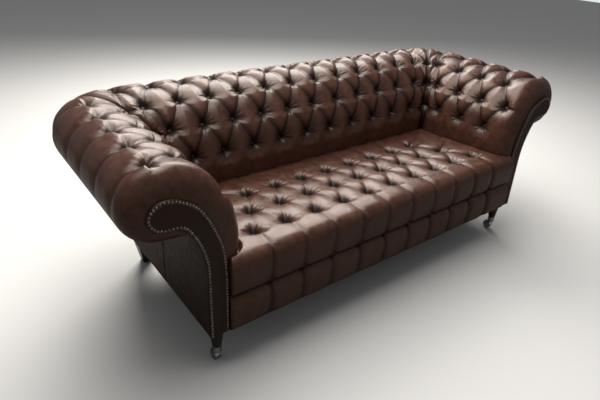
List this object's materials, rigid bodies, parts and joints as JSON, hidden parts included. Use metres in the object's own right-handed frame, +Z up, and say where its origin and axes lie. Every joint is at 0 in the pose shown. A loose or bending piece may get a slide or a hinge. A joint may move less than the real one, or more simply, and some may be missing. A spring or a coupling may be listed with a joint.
{
  "type": "tufted roll-arm sofa",
  "caption": "Deep-buttoned leather sofa with rolled arms level with the back, nailed scroll facings, a tufted seat, turned front legs on castors and raked square rear legs.",
  "frame": {"origin": "on the floor, under the middle of the overall box", "axes": "+X to the right as seen from the front, +Y to the rear, +Z up"},
  "size_m": [2.026, 0.8472, 0.735],
  "materials": {
    "leather_brown": "satin, worn",
    "leather_facing": "satin",
    "nail_metal": "antique nickel",
    "frame_wood": "sawn",
    "black_wood": "gloss",
    "castor_metal": "polished",
    "spring_steel": "drawn wire",
    "hessian": "coarse weave",
    "padding": "foam",
    "webbing": "woven",
    "dust_cloth": "matte"
  },
  "bodies": {
    "sofa": {"front_rail": "frame_wood", "rear_rail": "frame_wood", "left_side_rail": "frame_wood", "right_side_rail": "frame_wood", "seat_cross_rails": "frame_wood", "corner_blocks": "frame_wood", "back_boards": "frame_wood", "back_roll_rail": "frame_wood", "left_arm_front_board": "frame_wood", "right_arm_front_board": "frame_wood", "left_arm_rear_board": "frame_wood", "right_arm_rear_board": "frame_wood", "left_arm_roll_rail": "frame_wood", "right_arm_roll_rail": "frame_wood", "leg_bolts": "spring_steel", "seat_springs": "spring_steel", "spring_clips": "spring_steel", "seat_hessian": "hessian", "seat_foam": "padding", "dust_cover": "dust_cloth", "back_webbing": "webbing", "left_arm_webbing": "webbing", "right_arm_webbing": "webbing", "seat_cover": "leather_brown", "lower_front_cover": "leather_brown", "back_cushion": "leather_brown", "left_arm_cushion": "leather_brown", "right_arm_cushion": "leather_brown", "seat_buttons": "leather_brown", "back_buttons": "leather_brown", "left_arm_buttons": "leather_brown", "right_arm_buttons": "leather_brown", "left_facing": "leather_facing", "right_facing": "leather_facing", "outside_back_panel": "leather_facing", "left_outside_arm_panel": "leather_facing", "right_outside_arm_panel": "leather_facing", "left_facing_nails": "nail_metal", "right_facing_nails": "nail_metal", "left_front_leg": "black_wood", "right_front_leg": "black_wood", "left_rear_leg": "black_wood", "right_rear_leg": "black_wood", "left_castor_cup": "castor_metal", "right_castor_cup": "castor_metal"},
    "left_castor_swivel": {"left_castor_fork": "castor_metal", "left_castor_axle": "castor_metal"},
    "left_castor_roller": {"left_castor_wheel": "castor_metal"},
    "right_castor_swivel": {"right_castor_fork": "castor_metal", "right_castor_axle": "castor_metal"},
    "right_castor_roller": {"right_castor_wheel": "castor_metal"}
  },
  "joints": [
    {"name": "left_castor_turn", "type": "hinge", "parent": "sofa", "child": "left_castor_swivel", "pos_m": [-0.744, -0.36, 0.044], "axis": [0, 0, 1], "continuous": true},
    {"name": "left_wheel_roll", "type": "hinge", "parent": "left_castor_swivel", "child": "left_castor_roller", "pos_m": [-0.744, -0.346, 0.019], "axis": [1, 0, 0], "continuous": true},
    {"name": "right_castor_turn", "type": "hinge", "parent": "sofa", "child": "right_castor_swivel", "pos_m": [0.744, -0.36, 0.044], "axis": [0, 0, 1], "continuous": true},
    {"name": "right_wheel_roll", "type": "hinge", "parent": "right_castor_swivel", "child": "right_castor_roller", "pos_m": [0.744, -0.346, 0.019], "axis": [1, 0, 0], "continuous": true}
  ]
}
